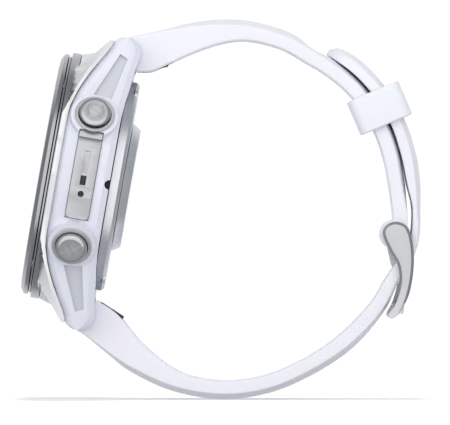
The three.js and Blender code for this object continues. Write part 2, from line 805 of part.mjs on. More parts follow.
function makeShortStrap() {
  const stations = [
    [toRow(rootInner, -5.6), toRow(rootOuter, -3), 0.02],
    [[-11.8, 55.2], [-13.8, 61.2], 0.1],
    [[-9.6, 56.1], [-10, 61.9], 0.25],
    [[-5, 58.2], [-5, 62.8], 0.6],
    [[0, 59.9], [0, 63.05], 0.95],
    [[4.5, 60.3], [5.2, 62.7], 0.95],
    [onArc(77, 24.4), onArc(75, 26.6), 0.9],
    [onArc(66, strapInner + 0.15), onArc(65.5, strapOuter + 0.25), 0.4],
    ...[57, 46, 35, 24, 13].map((a) => [onArc(a, strapInner), onArc(a, strapOuter), coveredCrown]),
    [onArc(3, strapInner + 0.25), onArc(3, strapOuter + 0.15), coveredCrown],
    [onArc(-5, strapInner + 0.8), onArc(-5, strapOuter + 0.95), 0.25],
    [onArc(-10, strapInner + 1.3), onArc(-10, strapOuter + 1.65), 0.02],
    [onArc(-14, strapInner + 1.7), onArc(-14, strapOuter + 1.85), 0.02],
  ];
  const half = strapWidth / 2;
  let strap = makeStrap(stations, 3 * (stations.length - 1));
  strap = strap.add(rootKnuckle(1, stations[0][1], stations[0][0]));
  strap = strap.add(disc(pinLoopRadius, -half, half, 32, alongY(...pin)));
  strap = strap.subtract(disc(pinRadius + seam, -half - 1, half + 1, 20, alongY(...pin)));
  const slot = tongueWidth / 2 + tongueClearance;
  const [left, right] = [pin[0] - eyeReach, pin[0] + eyeReach];
  const [low, high] = [pin[1] - eyeDepth, pin[1] + pinLoopRadius + seam];
  const eye = [[left, low], [right, low], [right, high], [left, high]];
  strap = strap.subtract(across(eye, -slot, slot));
  return finishRoot(strap, 1);
}

// Bores a strap root for its lug bar and cuts its latch's pocket.
function finishRoot(strap, way) {
  const half = strapWidth / 2;
  const centre = toRow(way * barY, barZ);
  const bored = strap.subtract(disc(barRadius + seam, -half - 1, half + 1, 20, alongY(...centre)));
  const halfLatch = latchWidth / 2 + running;
  const pocket = latchOutline(way, running, latchTravel, 3);
  return bored.subtract(across(pocket, -halfLatch, halfLatch));
}

function makeLongStrap() {
  const tailInner = strapOuter + layerGap;
  const tailOuter = tailInner + tailThickness;
  const stations = [
    [toRow(-rootInner, -5.6), toRow(-rootOuter, -3), 0.02],
    [[-18.7, 15.2], [-22.5, 10.5], 0.1],
    [[-16.6, 13.3], [-19, 7.9], 0.35],
    [[-13, 9], [-15, 5.3], 0.8],
    [[-7, 4.6], [-8, 2.2], 0.9],
    [[0, 3.1], [0, 0.93], 1],
    [[7, 3.95], [7.7, 1.9], 0.9],
    [[14, 6.9], [15, 5], 0.9],
    [[20, 11], [21.5, 9.3], 0.85],
    [[25, 16.2], [26.8, 14.9], 0.5],
    [[27.5, 20.3], [29.3, 19.5], 0.3],
    [[29.3, 22.9], [30.8, 21.9], 0.3],
    [[31.1, 25.3], [32.3, 24.8], 0.3],
    [[31.85, 28], [33, 28], 0.35],
    [onArc(-6, tailInner + 1.35), onArc(-6, tailOuter + 0.45), 0.6],
    [onArc(2, tailInner + 0.35), onArc(2, tailOuter + 0.1), tailCrown],
    ...[12, 24, 36, 48, 60].map((a) => [onArc(a, tailInner), onArc(a, tailOuter), tailCrown]),
  ];
  const rounding = 0.06;
  const tip = (t) => (t < 1 - rounding ? 1 : Math.sqrt(1 - 0.85 * ((t - 1 + rounding) / rounding) ** 2));
  let strap = makeStrap(stations, 4 * (stations.length - 1), tip);
  strap = strap.add(rootKnuckle(-1, stations[0][1], stations[0][0]));
  const floor = [[-20, -5], [20, -5], [20, 0], [-20, 0]];
  strap = strap.subtract(across(floor, -strapWidth, strapWidth));
  strap = finishRoot(strap, -1);
  const half = holeWidth / 2;
  for (const hole of holeOutlines(stations)) {
    strap = strap.subtract(across(hole, -half, half));
  }
  const slot = tongueWidth / 2 + tongueClearance;
  for (let lift = 0; lift <= tongueLift; lift += tongueLift / 4) {
    const swept = ribbon(tonguePath, tongueThickness / 2 + tongueClearance);
    strap = strap.subtract(across(swept.map((p) => lifted(p, lift)), -slot, slot));
  }
  return strap;
}

// The tail's adjusting holes, evenly spaced on both sides of the one that the tongue uses.
function holeOutlines(stations) {
  const inner = spline(stations, (s) => [s[0][0], 0, s[0][1]]);
  const outer = spline(stations, (s) => [s[1][0], 0, s[1][1]]);
  const used = new THREE.Vector3(usedHole[0], 0, usedHole[1]);
  const samples = 600;
  let nearest = 0;
  const middles = [];
  for (let i = 0; i <= samples; i++) {
    middles.push(inner.getPoint(i / samples).add(outer.getPoint(i / samples)).multiplyScalar(0.5));
    if (middles[i].distanceTo(used) < middles[nearest].distanceTo(used)) nearest = i;
  }
  const outlines = [];
  for (const [way, count] of [[-1, holesBefore], [1, holesAfter]]) {
    let walked = 0;
    for (let i = nearest; outlines.length < (way < 0 ? count : holesBefore + count); i += way) {
      walked += middles[i + way].distanceTo(middles[i]);
      if (walked < holePitch) continue;
      walked = 0;
      const along = middles[i + way].clone().sub(middles[i]).normalize();
      const [x, z] = [middles[i].x, middles[i].z];
      const at = (a, b) => [x + along.x * a - along.z * b, z + along.z * a + along.x * b];
      const half = holeLength / 2;
      outlines.push([at(-half, -3), at(half, -3), at(half, 3), at(-half, 3)]);
    }
  }
  return outlines;
}

// A band of even thickness along a path.
function ribbon(path, half) {
  const side = (sign) =>
    path.map(([x, z], i) => {
      const [x0, z0] = path[Math.max(i - 1, 0)];
      const [x1, z1] = path[Math.min(i + 1, path.length - 1)];
      const length = Math.hypot(x1 - x0, z1 - z0);
      return [x - (sign * half * (z1 - z0)) / length, z + (sign * half * (x1 - x0)) / length];
    });
  return [...side(-1), ...side(1).reverse()];
}

// A point turned outwards about the buckle's pin.
function lifted([x, z], angle) {
  const [c, s] = [Math.cos(angle * deg), Math.sin(angle * deg)];
  const [dx, dz] = [x - pin[0], z - pin[1]];
  return [pin[0] + dx * c - dz * s, pin[1] + dx * s + dz * c];
}

function makeBuckle() {
  const outline = new THREE.CatmullRomCurve3(
    armOutline.map(([x, z]) => new THREE.Vector3(x, 0, z)),
    true,
    "centripetal",
  );
  const arm = outline.getPoints(44).slice(0, -1).map((p) => [p.x, p.z]);
  const inside = strapWidth / 2 + armClearance;
  const outside = inside + armThickness;
  const endCap = 0.35;
  const bore = disc(pinRadius + running, -outside + endCap, outside - endCap, 20, alongY(...pin));
  const bar = disc(frontBarRadius, -outside + 0.3, outside - 0.3, 20, alongY(...frontBar));
  const notch = tongueWidth / 2 + tongueClearance;
  const [barX, barLow] = frontBar;
  const seat = barX + tongueSeat;
  const cut = [[seat, barLow - 2], [seat + 3, barLow - 2], [seat + 3, barLow + 2], [seat, barLow + 2]];
  let frame = across(arm, inside, outside).add(across(arm, -outside, -inside)).add(bar);
  frame = frame.subtract(bore).subtract(across(cut, -notch, notch));
  addPiece("buckle_frame", frame, "steel", group);
  const pinHalf = outside - endCap - running;
  addPiece("buckle_pin", disc(pinRadius, -pinHalf, pinHalf, 20, alongY(...pin)), "steel", group);
  const half = tongueWidth / 2;
  let tongue = disc(tongueEye, -half, half, 24, alongY(...pin));
  tongue = tongue.add(across(ribbon(tonguePath, tongueThickness / 2), -half, half));
  tongue = tongue.subtract(disc(pinRadius + running, -half - 1, half + 1, 20, alongY(...pin)));
  addPiece("buckle_tongue", tongue, "steel", group);
}

function makeKeeper() {
  const openLow = strapInner - keeperInnerClearance;
  const openHigh = strapOuter + layerGap + tailThickness + tailCrown + keeperOuterClearance;
  const middle = (openLow + openHigh) / 2;
  const [x, z] = onArc(keeperAngle, middle);
  const turn = (keeperAngle + keeperTilt) * deg;
  const [c, s] = [Math.cos(turn), Math.sin(turn)];
  const at = (r, along) => [x + (r - middle) * c - along * s, z + (r - middle) * s + along * c];
  const rectangle = (low, high, half) => [at(low, -half), at(high, -half), at(high, half), at(low, half)];
  const half = keeperLength / 2;
  const halfOpening = strapWidth / 2 + keeperSideClearance;
  const halfWidth = halfOpening + keeperWall;
  const outside = across(rectangle(openLow - keeperWall, openHigh + keeperWall, half), -halfWidth, halfWidth);
  const opening = across(rectangle(openLow, openHigh, half + 1), -halfOpening, halfOpening);
  addPiece("keeper_loop", outside.subtract(opening), "whiteStrap", group);
}

function makeLatches() {
  for (const [name, way] of [["latch_top", 1], ["latch_bottom", -1]]) {
    const outline = latchOutline(way, 0, 0, latchProud);
    addPiece(name, across(outline, -latchWidth / 2, latchWidth / 2), "blackResin", group);
  }
}

addPiece("mid_case", makeCase(), "whiteResin", watch);
addPiece("front_guard_right", makeGuard(1), "steel", watch);
addPiece("front_guard_left", makeGuard(-1), "steel", watch);
makeBezelAndDisplay();
for (const [name, angle] of Object.entries(buttonAngles)) makeButton(name, angle);
makeSensorPlate();
makeCaseback();
makeInnerPieces();
makeLugBars();
addPiece("strap_short", makeShortStrap(), "whiteStrap", group);
addPiece("strap_long", makeLongStrap(), "whiteStrap", group);
makeLatches();
makeBuckle();
makeKeeper();

export default group;
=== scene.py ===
"""Looks of a round multisport watch standing on its closed strap.

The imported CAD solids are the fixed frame. The hard pieces are shown as copies of those solids
with joined facets and rounded edges. The soft strap, the keeper, the button caps and the
buckle's arms are surfaces of their own. Sizes are in millimetres, and MM turns them into metres.
"""

import json
import math

import bmesh
import bpy
import numpy as np
from mathutils import Matrix, Vector


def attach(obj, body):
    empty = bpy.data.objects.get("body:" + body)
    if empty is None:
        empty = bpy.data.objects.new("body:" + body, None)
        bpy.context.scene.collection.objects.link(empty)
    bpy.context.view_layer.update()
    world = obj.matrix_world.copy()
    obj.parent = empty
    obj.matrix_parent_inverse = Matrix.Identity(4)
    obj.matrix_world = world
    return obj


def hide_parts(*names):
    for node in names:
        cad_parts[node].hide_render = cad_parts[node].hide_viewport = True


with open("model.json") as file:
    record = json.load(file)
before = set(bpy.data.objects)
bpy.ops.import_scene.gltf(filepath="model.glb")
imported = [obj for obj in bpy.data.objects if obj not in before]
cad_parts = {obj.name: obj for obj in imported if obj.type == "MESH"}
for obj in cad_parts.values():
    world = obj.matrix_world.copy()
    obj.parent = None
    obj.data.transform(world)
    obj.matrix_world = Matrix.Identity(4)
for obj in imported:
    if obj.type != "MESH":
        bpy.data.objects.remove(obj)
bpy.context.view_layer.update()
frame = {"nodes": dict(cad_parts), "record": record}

MM = 0.001
BODY_OF = {
    node: body for body, nodes in frame["record"]["behaviour"]["bodies"].items() for node in nodes
}
SLOT_OF = {s["node"]: s["material_slot"] for s in frame["record"]["subparts"]}
LEAN = math.radians(10)

# The watch frame: its centre and its axes to 3 o'clock, to 12 o'clock and out of the display.
THREE_O_CLOCK = Vector((0, -1, 0))
TWELVE = Vector((math.sin(LEAN), 0, math.cos(LEAN)))
FACE_OUT = Vector((-math.cos(LEAN), 0, math.sin(LEAN)))
CENTRE = Vector((-23.18, 0, 36.82))


def watch_point(x, y, z):
    """The object's own millimetres of a point given in the watch frame."""
    return CENTRE + THREE_O_CLOCK * x + TWELVE * y + FACE_OUT * z


# ---------------------------------------------------------------- finishes


class Finish:
    """A Principled material whose nodes read the piece's Object coordinates."""

    def __init__(self, name, colour, roughness, metallic=0.0, **sockets):
        self.material = bpy.data.materials.new(name)
        self.material.use_nodes = True
        self.tree = self.material.node_tree
        self.shader = self.tree.nodes["Principled BSDF"]
        self.colour = (*colour, 1.0)
        self.roughness = roughness
        self.shader.inputs["Base Color"].default_value = self.colour
        self.shader.inputs["Roughness"].default_value = roughness
        self.shader.inputs["Metallic"].default_value = metallic
        for socket, value in sockets.items():
            self.shader.inputs[socket.replace("_", " ")].default_value = value
        self.place = self.tree.nodes.new("ShaderNodeTexCoord").outputs["Object"]
        self.material.diffuse_color = self.colour

    def node(self, kind, **settings):
        made = self.tree.nodes.new("ShaderNode" + kind)
        for key, value in settings.items():
            setattr(made, key, value)
        return made

    def link(self, source, target):
        self.tree.links.new(source, target)

    def noise(self, size, stretch=(1, 1, 1), detail=3.0):
        """Noise whose grains are about size millimetres, longer where stretch is under 1."""
        mapping = self.node("Mapping")
        mapping.inputs["Scale"].default_value = stretch
        self.link(self.place, mapping.inputs["Vector"])
        noise = self.node("TexNoise")
        noise.inputs["Scale"].default_value = 1 / (size * MM)
        noise.inputs["Detail"].default_value = detail
        self.link(mapping.outputs["Vector"], noise.inputs["Vector"])
        return noise.outputs["Fac"]

    def ranged(self, value, low, high):
        ramp = self.node("MapRange")
        ramp.inputs["From Min"].default_value = 0.3
        ramp.inputs["From Max"].default_value = 0.7
        ramp.inputs["To Min"].default_value = low
        ramp.inputs["To Max"].default_value = high
        self.link(value, ramp.inputs["Value"])
        return ramp.outputs["Result"]

    def vary_roughness(self, value, spread):
        low, high = self.roughness - spread, self.roughness + spread
        self.link(self.ranged(value, low, high), self.shader.inputs["Roughness"])
        return self

    def bump(self, value, depth, strength=1.0):
        """Raises the surface by value times depth millimetres."""
        bump = self.node("Bump")
        bump.inputs["Distance"].default_value = depth * MM
        bump.inputs["Strength"].default_value = strength
        self.link(value, bump.inputs["Height"])
        self.link(bump.outputs["Normal"], self.shader.inputs["Normal"])
        return self

    def tint(self, value, other):
        """Mixes the colour with another one where value is high."""
        mix = self.node("Mix", data_type="RGBA")
        mix.inputs["A"].default_value = self.colour
        mix.inputs["B"].default_value = (*other, 1.0)
        self.link(value, mix.inputs["Factor"])
        self.link(mix.outputs["Result"], self.shader.inputs["Base Color"])
        return self

    def worn_edges(self, other, low=0.52, high=0.6):
        """Shows the other colour along convex edges."""
        edge = self.node("NewGeometry").outputs["Pointiness"]
        ramp = self.node("MapRange")
        ramp.inputs["From Min"].default_value = low
        ramp.inputs["From Max"].default_value = high
        self.link(edge, ramp.inputs["Value"])
        return self.tint(ramp.outputs["Result"], other)


def satin_steel(name, colour, roughness, stretch=(1, 1, 1)):
    """Steel with fine brushed lines along the axis where stretch is small."""
    steel = Finish(name, colour, roughness, metallic=1.0)
    lines = steel.noise(0.12, stretch)
    steel.vary_roughness(lines, 0.03)
    steel.worn_edges([min(1.0, c * 1.25) for c in colour])
    return steel.bump(lines, 0.0015, 0.35).material


def white_resin(name, colour, roughness):
    """Moulded resin with a very fine spark texture."""
    resin = Finish(name, colour, roughness, Subsurface_Weight=0.15, Subsurface_Scale=0.0006)
    grain = resin.noise(0.18)
    resin.vary_roughness(resin.noise(2.5), 0.06)
    resin.worn_edges([min(1.0, c * 1.06) for c in colour])
    return resin.bump(grain, 0.006, 0.5).material


def silicone(name, colour, roughness):
    """Soft silicone: matt, with a faint powdery sheen and slow waves in its surface."""
    skin = Finish(name, colour, roughness, Subsurface_Weight=0.25, Subsurface_Scale=0.0012)
    skin.shader.inputs["Sheen Weight"].default_value = 0.15
    skin.shader.inputs["Sheen Roughness"].default_value = 0.5
    skin.vary_roughness(skin.noise(4.0), 0.05)
    return skin.bump(skin.noise(0.25), 0.006, 0.5).material


def dark_resin(name, colour=(0.012, 0.012, 0.014), roughness=0.5):
    resin = Finish(name, colour, roughness)
    resin.vary_roughness(resin.noise(1.2), 0.1)
    return resin.bump(resin.noise(0.15), 0.006, 0.5).material


def display_glass(name):
    glass = Finish(name, (0.004, 0.005, 0.007), 0.06)
    glass.shader.inputs["Coat Weight"].default_value = 0.6
    glass.shader.inputs["Coat Roughness"].default_value = 0.03
    smudges = glass.noise(6.0)
    return glass.vary_roughness(smudges, 0.03).material


def circuit_board(name):
    board = Finish(name, (0.01, 0.09, 0.05), 0.45)
    board.tint(board.ranged(board.noise(0.8), 0, 1), (0.02, 0.16, 0.09))
    return board.bump(board.noise(0.5), 0.02).material


BEZEL_STEEL = satin_steel("bezel_steel", (0.35, 0.355, 0.36), 0.28, (1, 1, 0.2))
GUARD_STEEL = satin_steel("guard_steel", (0.5, 0.505, 0.51), 0.2, (0.3, 1, 1))
PLATE_STEEL = satin_steel("plate_steel", (0.35, 0.35, 0.355), 0.33, (1, 1, 0.15))
BUTTON_STEEL = satin_steel("button_steel", (0.46, 0.465, 0.47), 0.3)
BACK_STEEL = satin_steel("caseback_steel", (0.6, 0.61, 0.63), 0.36)
BUCKLE_STEEL = satin_steel("buckle_steel", (0.42, 0.425, 0.43), 0.3, (1, 1, 0.3))
CASE_RESIN = white_resin("case_resin", (0.78, 0.79, 0.87), 0.42)
# The lug pocket floors: rougher than the case, and darker as painted shade in the recess.
POCKET_PAINTED_SHADE = white_resin("pocket_painted_shade", (0.6, 0.61, 0.64), 0.6)
STRAP_SILICONE = silicone("strap_silicone", (0.91, 0.915, 0.975), 0.55)
DARK_RESIN = dark_resin("dark_resin")
SEAL_RUBBER = dark_resin("seal_rubber", (0.02, 0.02, 0.022), 0.75)
DISPLAY_GLASS = display_glass("display_glass")
BOARD_MASK = circuit_board("board_mask")
CONTACT_BRASS = satin_steel("contact_brass", (0.8, 0.6, 0.32), 0.3)
BATTERY_CAN = satin_steel("battery_can", (0.5, 0.5, 0.52), 0.4)


# ---------------------------------------------------------------- making pieces


def in_scene(name, data):
    made = bpy.data.objects.new(name, data)
    bpy.context.scene.collection.objects.link(made)
    return made


def shade_smooth(mesh, sharp_angle):
    """Shades a mesh smooth, except over edges sharper than an angle in degrees."""
    mesh.polygons.foreach_set("use_smooth", np.ones(len(mesh.polygons), bool))
    mesh.set_sharp_from_angle(angle=math.radians(sharp_angle))


def face_outward(mesh, weld=None):
    """Turns a mesh's faces outward, once points closer than weld millimetres are joined."""
    shape = bmesh.new()
    shape.from_mesh(mesh)
    if weld:
        bmesh.ops.remove_doubles(shape, verts=shape.verts, dist=weld * MM)
    bmesh.ops.recalc_face_normals(shape, faces=shape.faces)
    shape.to_mesh(mesh)
    shape.free()


def piece(name, mesh, material, body, node=None, slot=None):
    """Shows a mesh as a piece that rides on a body, in place of a CAD node if one is named."""
    mesh.materials.clear()
    mesh.materials.append(material)
    made = in_scene(name, mesh)
    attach(made, body)
    if node:
        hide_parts(node)
        slot = slot or SLOT_OF[node]
    return made


def round_edges(made, width, segments=3, angle=25):
    bevel = made.modifiers.new("rounded_edges", "BEVEL")
    bevel.width = width * MM
    bevel.segments = segments
    bevel.limit_method = "ANGLE"
    bevel.angle_limit = math.radians(angle)
    bevel.harden_normals = True
    return made


def dressed(node, material, width=0.1, segments=3, angle=25):
    """A copy of a CAD node with its facets joined, shaded smooth and its edges rounded."""
    mesh = frame["nodes"][node].data.copy()
    shape = bmesh.new()
    shape.from_mesh(mesh)
    bmesh.ops.remove_doubles(shape, verts=shape.verts, dist=0.002 * MM)
    bmesh.ops.dissolve_limit(
        shape, angle_limit=math.radians(0.5), verts=shape.verts, edges=shape.edges
    )
    shape.to_mesh(mesh)
    shape.free()
    shade_smooth(mesh, angle)
    made = piece("look_" + node, mesh, material, BODY_OF[node], node)
    return round_edges(made, width, segments, angle)


def recessed(made, material, inside):
    """Gives the faces whose middle is inside, a test in millimetres, a second material; the lug
    pocket floors get a rougher, darker one, the darkness being painted shade in the recess.
    """
    made.data.materials.append(material)
    for face in made.data.polygons:
        if inside(Vector(face.center) / MM, face.normal):
            face.material_index = 1


def grid_mesh(name, points, cap_v=True):
    """A mesh over a grid of points[v, u], joined round in u, with flat ends in v if cap_v is set."""
    rows, columns = points.shape[:2]
    v, u = np.meshgrid(np.arange(rows - 1), np.arange(columns), indexing="ij")
    here = v * columns + u
    right = v * columns + (u + 1) % columns
    faces = np.stack([here, right, right + columns, here + columns], axis=-1).reshape(-1, 4)
    faces = faces.tolist()
    if cap_v:
        faces.append(list(range(columns))[::-1])
        faces.append([(rows - 1) * columns + k for k in range(columns)])
    mesh = bpy.data.meshes.new(name)
    mesh.from_pydata(points.reshape(-1, 3).tolist(), [], faces)
    face_outward(mesh)
    shade_smooth(mesh, 35)
    return mesh


def catmull_rom(a, b, c, d, t):
    """The curve from b to c at share t, where a and d are its neighbours."""
    return 0.5 * (
        2 * b + (c - a) * t + (2 * a - 5 * b + 4 * c - d) * t**2 + (3 * b - a - 3 * c + d) * t**3
    )


def smooth_through(stations, per_span):
    """Catmull-Rom values through the stations' rows, per_span steps in each span."""
    p = np.vstack([2 * stations[0] - stations[1], stations, 2 * stations[-1] - stations[-2]])
    t = np.linspace(0, 1, per_span, endpoint=False)[:, None]
    spans = [catmull_rom(*near, t) for near in zip(p[:-3], p[1:-2], p[2:-1], p[3:])]
    return np.vstack([*spans, stations[-1:]])


# ---------------------------------------------------------------- strap

STRAP_HALF = 10.0
STRAP_CENTRE = (4.4, 35.2)
# Radii from the strap's centre: the wrist side, then the outer edges of the two layers.
INNER, SHORT_OUTER, TAIL_OUTER = 23.4, 25.6, 28.15
TAIL_INNER = 26.4
COVERED_CROWN, TAIL_CROWN = 0.68, 0.82
PIN = (29.1, 27.8)
BAR = (22.3, -3.1)
ROOT_RADIUS, EYE_RADIUS, ROD_BORE = 2.2, 2.5, 0.87
END_INSET, WEDGE_INSET = 0.02, 0.15
SLOT_HALF = 1.35
LATCH_POCKET_HALF = 4.6
PAST_SIDES = 12


def on_arc(angle, radius):
    a = math.radians(angle)
    return (STRAP_CENTRE[0] + radius * math.cos(a), STRAP_CENTRE[1] + radius * math.sin(a))


def at_case(y, z):
    p = watch_point(0, y, z)
    return (p.x, p.z)


# Each station: wrist-side point, outer point at the strap's edge, crown over that point.
SHORT_HALF = [
    (at_case(19.5, -5.6), at_case(24.9, -3), 0.02),
    ((-11.8, 55.2), (-13.8, 61.2), 0.15),
    ((-9.6, 56.1), (-10, 61.9), 0.3),
    ((-5, 58.2), (-5, 62.8), 0.65),
    ((0, 59.9), (0, 63.05), 0.93),
    ((4.5, 60.3), (5.2, 62.7), 0.93),
    (on_arc(77, 24.4), on_arc(75, 26.6), 0.9),
    (on_arc(66, INNER + 0.15), on_arc(65.5, SHORT_OUTER + 0.25), 0.35),
    *[(on_arc(a, INNER), on_arc(a, SHORT_OUTER), COVERED_CROWN) for a in (57, 46, 35, 24, 13)],
    (on_arc(3, INNER + 0.25), on_arc(3, SHORT_OUTER + 0.15), COVERED_CROWN),
    (on_arc(-5, INNER + 0.8), on_arc(-5, SHORT_OUTER + 0.95), 0.25),
    (on_arc(-10, INNER + 1.3), on_arc(-10, SHORT_OUTER + 1.65), 0.02),
    (on_arc(-14, INNER + 1.7), on_arc(-14, SHORT_OUTER + 1.85), 0.02),
]
LONG_HALF = [
    (at_case(-19.5, -5.6), at_case(-24.9, -3), 0.02),
    ((-18.7, 15.2), (-22.5, 10.5), 0.15),
    ((-16.6, 13.3), (-19, 7.9), 0.4),
    ((-13, 9), (-15, 5.3), 0.8),
    ((-7, 4.6), (-8, 2.2), 0.9),
    ((0, 3.1), (0, 0.93), 0.93),
    ((7, 3.95), (7.7, 1.9), 0.9),
    ((14, 6.9), (15, 5), 0.9),
    ((20, 11), (21.5, 9.3), 0.85),
    ((25, 16.2), (26.8, 14.9), 0.5),
    ((27.5, 20.3), (29.3, 19.5), 0.3),
    ((29.3, 22.9), (30.8, 21.9), 0.3),
    ((31.1, 25.3), (32.3, 24.8), 0.3),
    ((31.85, 28), (33, 28), 0.35),
    (on_arc(-6, TAIL_INNER + 1.35), on_arc(-6, TAIL_OUTER + 0.45), 0.6),
    (on_arc(2, TAIL_INNER + 0.35), on_arc(2, TAIL_OUTER + 0.07), TAIL_CROWN),
    *[(on_arc(a, TAIL_INNER), on_arc(a, TAIL_OUTER), TAIL_CROWN) for a in (12, 24, 36, 48, 60)],
]


def strap_section(steps=10):
    """The strap's closed section as columns of (y share, y offset, height offset, share of the
    thickness, share of the crown): a flat wrist face, rounded corners, upright sides, and a
    crown of height 1 - |y|^3.2 over the outer edges."""
    turn = np.linspace(0, math.pi / 2, steps)
    low, high = 0.4, 0.28
    ones, zeros = np.ones(steps), np.zeros(steps)
    corner_in = [ones, low * (np.sin(turn) - 1), low * (1 - np.cos(turn)), zeros, zeros]
    corner_out = [ones, high * (np.cos(turn) - 1), high * (np.sin(turn) - 1), ones, zeros]
    side = np.stack([*map(np.concatenate, zip(corner_in, corner_out))], axis=1)
    share = np.cos(np.linspace(0.12, math.pi - 0.12, 25))
    crown = np.stack(
        [share, 0 * share - high * np.sign(share) * np.abs(share) ** 8, 0 * share, 0 * share + 1,
         1 - np.abs(share) ** 3.2], axis=1)
    other = side[::-1] * np.array([-1, -1, 1, 1, 1])
    flat = np.linspace(-0.9, 0.9, 7)
    wrist = np.stack([flat, 0 * flat, 0 * flat, 0 * flat, 0 * flat], axis=1)
    return np.vstack([side, crown, other, wrist])


def strap_points(stations, per_span, tip=0.0):
    """Carries the strap's section along its stations; the last share, tip, narrows and thins to
    a round end like half an ellipse."""
    rows = np.array([[a[0], a[1], b[0], b[1], c] for a, b, c in stations])
    path = smooth_through(rows, per_span)
    inner, outer, crown = path[:, :2], path[:, 2:4], np.maximum(path[:, 4], 0.01)
    thick = np.linalg.norm(outer - inner, axis=1)
    up = (outer - inner) / thick[:, None]
    t = np.linspace(0, 1, len(path))
    width = np.ones(len(path))
    if tip:
        end = np.clip((t - 1 + tip) / tip, 0, 1)
        width = np.sqrt(np.maximum(1 - end**2.2, 0.0)) * 0.86 + 0.14
        thin = np.sqrt(np.maximum(1 - end**3.5, 0.0)) * 0.6 + 0.4
        thick, crown = thick * thin, crown * thin
    section = strap_section()
    share, shift, lift, of_thick, of_crown = section.T
    y = STRAP_HALF * width[:, None] * share + shift
    height = lift + thick[:, None] * of_thick + crown[:, None] * of_crown
    x = inner[:, :1] + up[:, :1] * height
    z = inner[:, 1:] + up[:, 1:] * height
    return np.stack([x, y, z], axis=-1) * MM


def across_block(outline, half, name="cutter"):
    """A prism over an X-Z outline in millimetres, half to each side of the middle."""
    count = len(outline)
    rim = [(x * MM, side * half * MM, z * MM) for side in (-1, 1) for x, z in outline]
    faces = [list(range(count))[::-1], [count + k for k in range(count)]]
    faces += [[k, (k + 1) % count, count + (k + 1) % count, count + k] for k in range(count)]
    mesh = bpy.data.meshes.new(name)
    mesh.from_pydata(rim, [], faces)
    face_outward(mesh)
    return mesh


def round_bar(centre, radius, half, sides=48):
    angles = np.linspace(0, 2 * math.pi, sides, endpoint=False)
    outline = [(centre[0] + radius * math.cos(a), centre[1] + radius * math.sin(a)) for a in angles]
    return across_block(outline, half)


def combined(base, parts):
    """The base mesh with each (operation, mesh) of parts joined to it or cut from it."""
    body = in_scene("combined", base)
    tools = []
    for operation, mesh in parts:
        tool = in_scene("tool", mesh)
        step = body.modifiers.new("step", "BOOLEAN")
        step.operation = operation
        step.solver = "EXACT"
        step.object = tool
        tools.append(tool)
    graph = bpy.context.evaluated_depsgraph_get()
    result = bpy.data.meshes.new_from_object(body.evaluated_get(graph))
    for used in (body, *tools):
        bpy.data.objects.remove(used)
    shade_smooth(result, 32)
    return result


def latch_pocket(way):
    """The pocket under a strap root, way 1 at 12 o'clock and -1 at 6 o'clock."""
    start = Vector(at_case(way * 19.75, -6.3))
    along = (Vector(at_case(way * 21.3, -10)) - start).normalized()
    up = Vector((-along.y * way, along.x * way))
    corners = [(-0.1, -3), (5.7, -3), (5.7, 1.08), (-0.1, 1.08)]
    return across_block([tuple(start + along * a + up * b) for a, b in corners], LATCH_POCKET_HALF)


def root_parts(way, stations):
    """The round root on its lug bar, the wedge that joins it on, and the cuts in both."""
    inner, outer = stations[0][0], stations[0][1]
    centre = at_case(way * BAR[0], BAR[1])
    return [
        ("UNION", round_bar(centre, ROOT_RADIUS, STRAP_HALF - END_INSET)),
        ("UNION", across_block([centre, inner, outer], STRAP_HALF - WEDGE_INSET)),
        ("DIFFERENCE", round_bar(centre, ROD_BORE, PAST_SIDES)),
        ("DIFFERENCE", latch_pocket(way)),
    ]


def hole_cutters(stations, used=(29.3, 21.3), pitch=4.6, before=6, after=5):
    """Rounded slots at even steps along the strap's middle line, on both sides of the used one."""
    rows = np.array([[a[0], a[1], b[0], b[1]] for a, b, _ in stations])
    path = smooth_through(rows, 30)
    middle = (path[:, :2] + path[:, 2:4]) / 2
    walk = np.concatenate([[0], np.cumsum(np.linalg.norm(np.diff(middle, axis=0), axis=1))])
    start = walk[np.argmin(np.linalg.norm(middle - np.array(used), axis=1))]
    straight, round_x, round_y, depth = 0.45, 1.05, 1.1, 4
    cutters = []
    for step in [*range(-before, 0), *range(1, after + 1)]:
        at = start + step * pitch
        x, z = (np.interp(at, walk, middle[:, k]) for k in (0, 1))
        dx, dz = (np.interp(at + 0.2, walk, middle[:, k]) - (x, z)[k] for k in (0, 1))
        length = math.hypot(dx, dz)
        dx, dz = dx / length, dz / length
        place = Matrix(((dx, 0, -dz, x), (0, 1, 0, 0), (dz, 0, dx, z), (0, 0, 0, 1)))
        turn = np.linspace(0, 2 * math.pi, 32, endpoint=False)
        rim_x = straight * np.sign(np.cos(turn)) + round_x * np.cos(turn)
        rim_y = round_y * np.sin(turn)
        rings = [
            [place @ Vector((a, b, h)) * MM for a, b in zip(rim_x, rim_y)] for h in (-depth, depth)
        ]
        cutters.append(("DIFFERENCE", grid_mesh("hole", np.array(rings))))
    return cutters


def tongue_slot():
    """The used hole, opened over the tongue's whole swing."""
    outline = [(26.9, 24.9), (28.0, 22.0), (29.2, 18.6), (31.5, 19.0), (32.6, 21.2), (30.4, 24.6)]
    return across_block(outline, SLOT_HALF)


def short_strap():
    base = grid_mesh("strap_short", strap_points(SHORT_HALF, 6))
    parts = root_parts(1, SHORT_HALF)
    x, z = PIN
    reach, below, above = 6, 5, 2.6
    tongue_gap = [(x - reach, z - below), (x + reach, z - below),
                  (x + reach, z + above), (x - reach, z + above)]
    parts += [
        ("UNION", round_bar(PIN, EYE_RADIUS, STRAP_HALF - END_INSET)),
        ("DIFFERENCE", round_bar(PIN, ROD_BORE, PAST_SIDES)),
        ("DIFFERENCE", across_block(tongue_gap, SLOT_HALF)),
    ]
    mesh = combined(base, parts)
    return piece("look_strap_short", mesh, STRAP_SILICONE, "watch", "strap_short")


